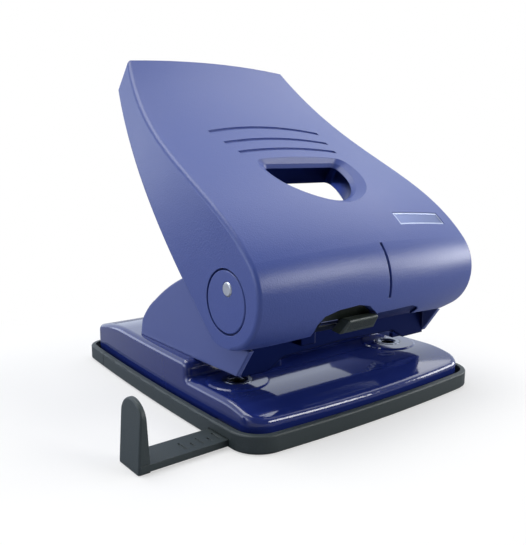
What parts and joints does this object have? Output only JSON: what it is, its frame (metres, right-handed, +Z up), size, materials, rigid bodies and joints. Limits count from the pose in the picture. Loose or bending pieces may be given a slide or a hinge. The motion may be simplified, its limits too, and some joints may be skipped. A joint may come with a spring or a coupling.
{
  "type": "hole punch",
  "caption": "Heavy duty two-hole paper punch with a broad blue handle, curved navy steel base, grey chip tray and a sliding paper guide.",
  "frame": {"origin": "centre of the underside, on the ground", "axes": "+Z up, +Y toward the rear where the handle's tip is, paper goes in from -Y along +Y, +X to the machine's right"},
  "size_m": [0.149, 0.137, 0.133],
  "materials": {
    "navy_steel": "gloss enamel",
    "blue_steel": "satin enamel",
    "blue_plastic": "fine texture",
    "grey_plastic": "moulded",
    "black_plastic": "ribbed",
    "tool_steel": "ground",
    "spring_wire": "drawn",
    "zinc": "zinc plated",
    "badge_metal": "blank, satin"
  },
  "bodies": {
    "base": {"base_plate": "navy_steel", "die_left": "tool_steel", "die_right": "tool_steel", "chip_tray": "grey_plastic", "punch_bracket": "blue_steel", "bracket_rivets": "zinc", "punch_guide_left": "tool_steel", "punch_guide_right": "tool_steel", "punch_spring_left": "spring_wire", "punch_spring_right": "spring_wire", "pivot_axle": "zinc", "axle_clips": "spring_wire"},
    "handle": {"handle_lever": "zinc", "lever_screws": "zinc", "handle_cover": "blue_plastic", "pivot_cap_left": "blue_plastic", "pivot_cap_right": "blue_plastic", "name_plate": "badge_metal", "lock_bezel": "black_plastic"},
    "lock": {"lock_slider": "black_plastic"},
    "pin_left_body": {"punch_pin_left": "tool_steel"},
    "pin_right_body": {"punch_pin_right": "tool_steel"},
    "guide": {"paper_guide": "grey_plastic"},
    "door": {"chip_door": "grey_plastic"}
  },
  "joints": [
    {"name": "handle_press", "type": "hinge", "parent": "base", "child": "handle", "pos_m": [0, -0.04775, 0.0511], "axis": [-1, 0, 0], "range_deg": [0, 30], "stiffness_Nm_per_rad": 0.4, "springref_deg": -20.05},
    {"name": "lock_slide", "type": "slide", "parent": "handle", "child": "lock", "axis": [1, 0, 0], "range_m": [-0.011, 0]},
    {"name": "pin_left_stroke", "type": "slide", "parent": "base", "child": "pin_left_body", "axis": [0, 0, -1], "range_m": [0, 0.0075], "deforming": ["punch_spring_left"]},
    {"name": "pin_right_stroke", "type": "slide", "parent": "base", "child": "pin_right_body", "axis": [0, 0, -1], "range_m": [0, 0.0075], "deforming": ["punch_spring_right"]},
    {"name": "guide_slide", "type": "slide", "parent": "base", "child": "guide", "axis": [1, 0, 0], "range_m": [-0.062, 0.027]},
    {"name": "door_slide", "type": "slide", "parent": "base", "child": "door", "axis": [0, 1, 0], "range_m": [0, 0.014]}
  ],
  "couplings": [
    {"joint": "pin_left_stroke", "follows": "handle_press", "m_per_rad": 0.014},
    {"joint": "pin_right_stroke", "follows": "handle_press", "m_per_rad": 0.014}
  ]
}
